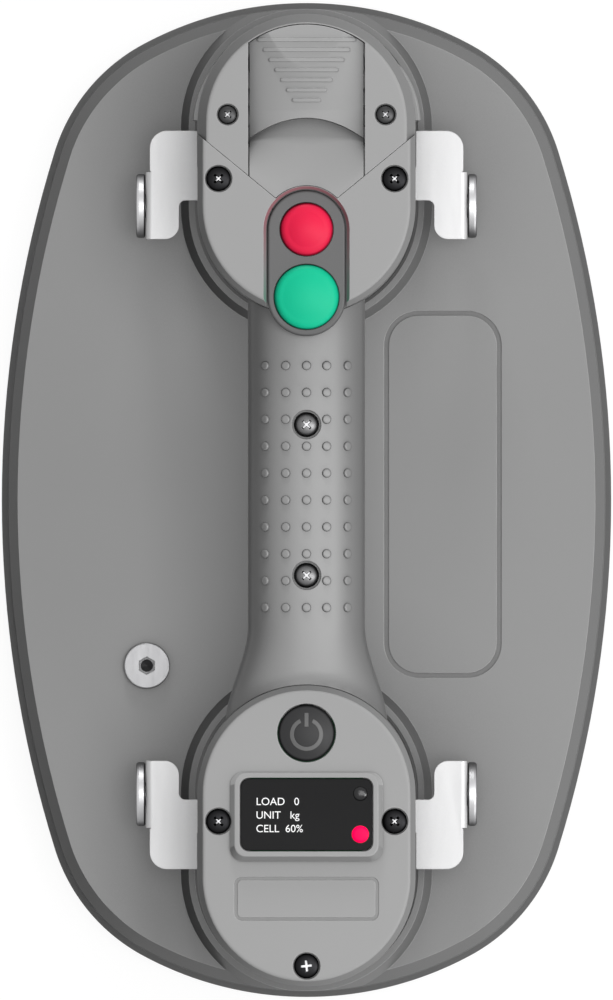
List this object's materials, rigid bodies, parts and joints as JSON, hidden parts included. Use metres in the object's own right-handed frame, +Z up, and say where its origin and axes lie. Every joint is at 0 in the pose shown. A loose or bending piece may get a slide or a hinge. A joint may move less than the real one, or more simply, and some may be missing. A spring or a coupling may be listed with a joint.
{
  "type": "electric suction cup",
  "caption": "Rounded suction plate with a foam seal ring, two tall oval pods for battery and pump, a bridging grip, push buttons, a small display and four side lugs.",
  "frame": {"origin": "centre of the foam seal's underside, on the surface the lifter rests on", "axes": "+Z up out of the plate, +Y along the plate towards the battery pod, +X across the plate"},
  "size_m": [0.1962, 0.32, 0.1289],
  "materials": {
    "grey_moulding": "satin moulded grey",
    "dark_moulding": "satin dark grey",
    "foam": "closed-cell black foam",
    "bright_steel": "bright turned steel",
    "satin_steel": "satin pressed sheet",
    "black_steel": "black oxide",
    "red_rubber": "soft red",
    "green_rubber": "soft green",
    "dark_glass": "smoked display window",
    "circuit_board": "printed circuit laminate",
    "cell_wrap": "shrink-wrapped cell"
  },
  "bodies": {
    "lifter": {"seal_foam": "foam", "inlet_filter": "foam", "base_pan": "grey_moulding", "base_shell": "grey_moulding", "inlet_barb": "bright_steel", "port_plug": "bright_steel", "pan_screw_1": "bright_steel", "pan_screw_2": "bright_steel", "pan_screw_3": "bright_steel", "pan_screw_4": "bright_steel", "rear_housing": "grey_moulding", "rear_cover": "grey_moulding", "display_bezel": "grey_moulding", "display_window": "dark_glass", "display_module": "circuit_board", "status_lamp": "red_rubber", "main_board": "circuit_board", "cover_screw": "black_steel", "pump_motor": "bright_steel", "pump_head": "dark_moulding", "release_valve": "bright_steel", "vacuum_hose": "dark_moulding", "front_housing": "grey_moulding", "front_cover": "grey_moulding", "button_tray": "dark_moulding", "button_board": "circuit_board", "terminal_block": "dark_moulding", "grip_top": "grey_moulding", "grip_bottom": "grey_moulding", "grip_screw_front": "black_steel", "grip_screw_rear": "black_steel", "wire_loom": "dark_moulding", "lug_front_left": "satin_steel", "lug_bolt_front_left": "bright_steel", "clamp_screw_front_left": "black_steel", "lug_front_right": "satin_steel", "lug_bolt_front_right": "bright_steel", "clamp_screw_front_right": "black_steel", "lug_rear_left": "satin_steel", "lug_bolt_rear_left": "bright_steel", "clamp_screw_rear_left": "black_steel", "lug_rear_right": "satin_steel", "lug_bolt_rear_right": "bright_steel", "clamp_screw_rear_right": "black_steel"},
    "battery_pack": {"battery_case": "grey_moulding", "battery_lid": "grey_moulding", "pack_grip": "grey_moulding", "lid_screw_left": "bright_steel", "lid_screw_right": "bright_steel", "battery_cell_1": "cell_wrap", "battery_cell_2": "cell_wrap", "battery_cell_3": "cell_wrap", "battery_cell_4": "cell_wrap", "battery_cell_5": "cell_wrap"},
    "latch_left": {"battery_latch_left": "grey_moulding"},
    "latch_right": {"battery_latch_right": "grey_moulding"},
    "release_button": {"release_button": "red_rubber"},
    "suction_button": {"suction_button": "green_rubber"},
    "power_button": {"power_button": "dark_moulding"},
    "pump_crank": {"pump_crank": "bright_steel"}
  },
  "joints": [
    {"name": "battery_slide", "type": "slide", "parent": "lifter", "child": "battery_pack", "axis": [0, 1, 0], "range_m": [0, 0.062]},
    {"name": "latch_left_press", "type": "slide", "parent": "battery_pack", "child": "latch_left", "axis": [1, 0, 0], "range_m": [0, 0.0012], "stiffness_N_per_m": 2500},
    {"name": "latch_right_press", "type": "slide", "parent": "battery_pack", "child": "latch_right", "axis": [-1, 0, 0], "range_m": [0, 0.0012], "stiffness_N_per_m": 2500},
    {"name": "release_press", "type": "slide", "parent": "lifter", "child": "release_button", "axis": [0, 0, -1], "range_m": [0, 0.0015], "stiffness_N_per_m": 1500},
    {"name": "suction_press", "type": "slide", "parent": "lifter", "child": "suction_button", "axis": [0, 0, -1], "range_m": [0, 0.0015], "stiffness_N_per_m": 1500},
    {"name": "power_press", "type": "slide", "parent": "lifter", "child": "power_button", "axis": [0, 0, -1], "range_m": [0, 0.0015], "stiffness_N_per_m": 1500},
    {"name": "pump_turn", "type": "hinge", "parent": "lifter", "child": "pump_crank", "pos_m": [0, -0.116, 0.076], "axis": [0, 0, 1], "continuous": true}
  ]
}
